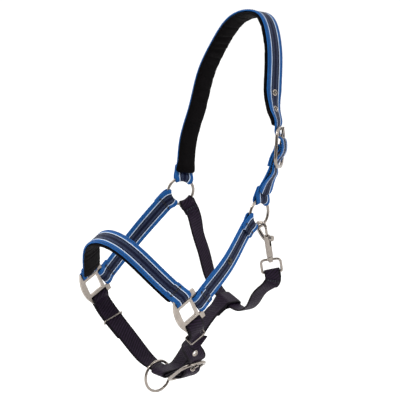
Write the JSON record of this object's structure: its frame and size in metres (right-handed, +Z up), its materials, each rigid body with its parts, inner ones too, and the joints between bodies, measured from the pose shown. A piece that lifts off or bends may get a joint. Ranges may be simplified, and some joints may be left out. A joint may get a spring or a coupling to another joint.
{
  "type": "horse head halter",
  "caption": "Webbing head halter for a horse with padded crown and noseband, two buckles, metal rings, cast squares and a throat snap.",
  "frame": {"origin": "middle of the crown's padded underside, where it rests on the horse's poll", "axes": "+Z up, -Y towards the horse's nose, +X towards the horse's left (near) side"},
  "size_m": [0.2108, 0.2729, 0.5025],
  "materials": {
    "striped_webbing": "flat woven webbing, blue edges, white lines and a navy middle",
    "black_webbing": "flat woven webbing, near black",
    "padding": "soft brushed padding, black",
    "nickel_plate": "satin nickel plate",
    "spring_steel": "bare wire"
  },
  "bodies": {
    "halter": {"crown_strap": "striped_webbing", "crown_eyelets": "nickel_plate", "crown_padding": "padding", "crown_buckle_frame": "nickel_plate", "crown_buckle_strap": "striped_webbing", "off_square": "nickel_plate", "near_square": "nickel_plate", "noseband_strap": "striped_webbing", "noseband_padding": "padding", "off_cheek_strap": "striped_webbing", "near_cheek_strap": "striped_webbing", "cheek_rivet": "nickel_plate", "chin_strap_off": "black_webbing", "chin_strap_near": "black_webbing", "chin_eyelets": "nickel_plate", "chin_buckle_frame": "nickel_plate", "snap_swivel_eye": "nickel_plate", "throat_strap": "black_webbing", "jowl_strap": "black_webbing"},
    "crown_tongue": {"crown_buckle_tongue": "nickel_plate"},
    "chin_tongue": {"chin_buckle_tongue": "nickel_plate"},
    "off_ring": {"off_upper_ring": "nickel_plate"},
    "near_ring": {"near_upper_ring": "nickel_plate"},
    "keeper_off": {"off_keeper": "nickel_plate"},
    "keeper_near": {"near_keeper": "nickel_plate"},
    "lead": {"lead_ring": "nickel_plate"},
    "snap_hook": {"snap_body": "nickel_plate", "snap_spring": "spring_steel"},
    "bolt": {"snap_bolt": "nickel_plate"}
  },
  "joints": [
    {"name": "crown_tongue_hinge", "type": "hinge", "parent": "halter", "child": "crown_tongue", "pos_m": [0.0936, -0.03968, -0.15424], "axis": [-0.5468, 0.8108, -0.2089], "range_deg": [0, 2]},
    {"name": "chin_tongue_hinge", "type": "hinge", "parent": "halter", "child": "chin_tongue", "pos_m": [0.046, -0.156, -0.444], "axis": [0.016, 0.9998, 0.012], "range_deg": [0, 2]},
    {"name": "off_ring_turn", "type": "hinge", "parent": "halter", "child": "off_ring", "pos_m": [-0.08, -0.062, -0.241], "axis": [0.9397, -0.342, 0], "continuous": true},
    {"name": "near_ring_turn", "type": "hinge", "parent": "halter", "child": "near_ring", "pos_m": [0.08, -0.062, -0.241], "axis": [0.9903, 0.1392, 0], "continuous": true},
    {"name": "off_keeper_slide", "type": "slide", "parent": "halter", "child": "keeper_off", "axis": [-0.7563, -0.1461, 0.6377], "range_m": [-0.004, 0.004]},
    {"name": "near_keeper_slide", "type": "slide", "parent": "halter", "child": "keeper_near", "axis": [-0.7546, 0.1052, -0.6477], "range_m": [-0.002, 0.002]},
    {"name": "lead_ring_swing", "type": "hinge", "parent": "halter", "child": "lead", "pos_m": [-0.017, -0.154, -0.4546], "axis": [0, 1, 0], "range_deg": [-25, 20]},
    {"name": "snap_swivel", "type": "hinge", "parent": "halter", "child": "snap_hook", "pos_m": [0.08786, -0.04924, -0.30061], "axis": [0, -0.19, 0.9818], "range_deg": [-12, 12]},
    {"name": "bolt_slide", "type": "slide", "parent": "snap_hook", "child": "bolt", "axis": [0, 0.19, -0.9818], "range_m": [0, 0.008], "stiffness_N_per_m": 600, "springref_m": -0.004, "deforming": ["snap_spring"]}
  ]
}
